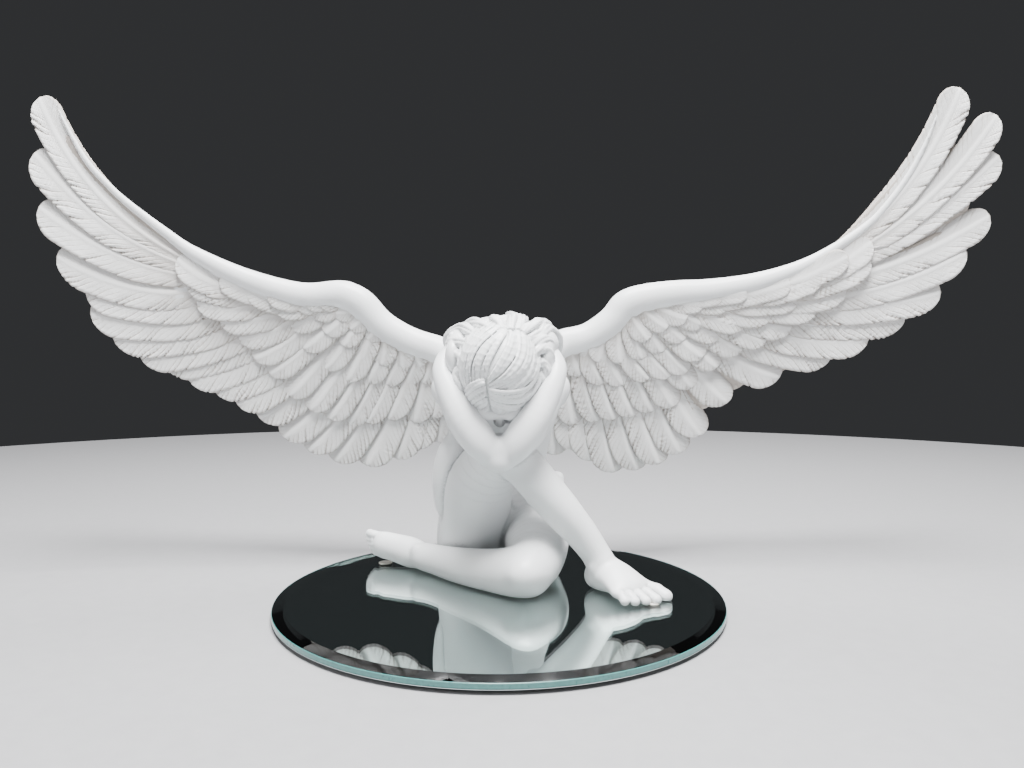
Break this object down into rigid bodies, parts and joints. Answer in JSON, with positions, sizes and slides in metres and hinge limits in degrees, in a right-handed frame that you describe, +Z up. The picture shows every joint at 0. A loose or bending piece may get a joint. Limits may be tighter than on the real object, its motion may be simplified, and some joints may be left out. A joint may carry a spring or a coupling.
{
  "type": "seated angel figurine on mirror base",
  "caption": "Seated angel with bowed head, crossed legs and large outspread feathered wings, cast in white resin and set on a round bevelled mirror plate.",
  "frame": {"origin": "centre of the middle bumper's underside, on the table, under the centre of the mirror", "axes": "+Z up, +Y towards the figure's back, +X towards the figure's own left, along the wingspan"},
  "size_m": [0.4697, 0.2, 0.242],
  "materials": {
    "painted_resin": "satin white paint on cast resin",
    "steel_pin": "plain drawn steel",
    "bevelled_glass": "polished, with a bevelled edge",
    "silvering": "silvered",
    "backing_paint": "matt protective paint",
    "rubber_bumper": "matt",
    "clear_adhesive": "set clear adhesive, slightly brown"
  },
  "bodies": {
    "figure_and_base": {"torso": "painted_resin", "head_and_hair": "painted_resin", "left_arm": "painted_resin", "right_arm": "painted_resin", "folded_leg": "painted_resin", "raised_leg": "painted_resin", "neck_pin": "steel_pin", "hip_pins": "steel_pin", "shoulder_pins": "steel_pin", "mirror_glass": "bevelled_glass", "mirror_silver": "silvering", "mirror_backing": "backing_paint", "bumper_feet": "rubber_bumper", "adhesive_dabs": "clear_adhesive"},
    "left_wing": {"left_wing": "painted_resin", "left_wing_bar": "steel_pin"},
    "right_wing": {"right_wing": "painted_resin", "right_wing_bar": "steel_pin"}
  },
  "joints": [
    {"name": "left_wing_slide", "type": "slide", "parent": "figure_and_base", "child": "left_wing", "axis": [0.6198, 0.5499, 0.5599], "range_m": [0, 0.03]},
    {"name": "right_wing_slide", "type": "slide", "parent": "figure_and_base", "child": "right_wing", "axis": [-0.6198, 0.5499, 0.5599], "range_m": [0, 0.03]}
  ]
}
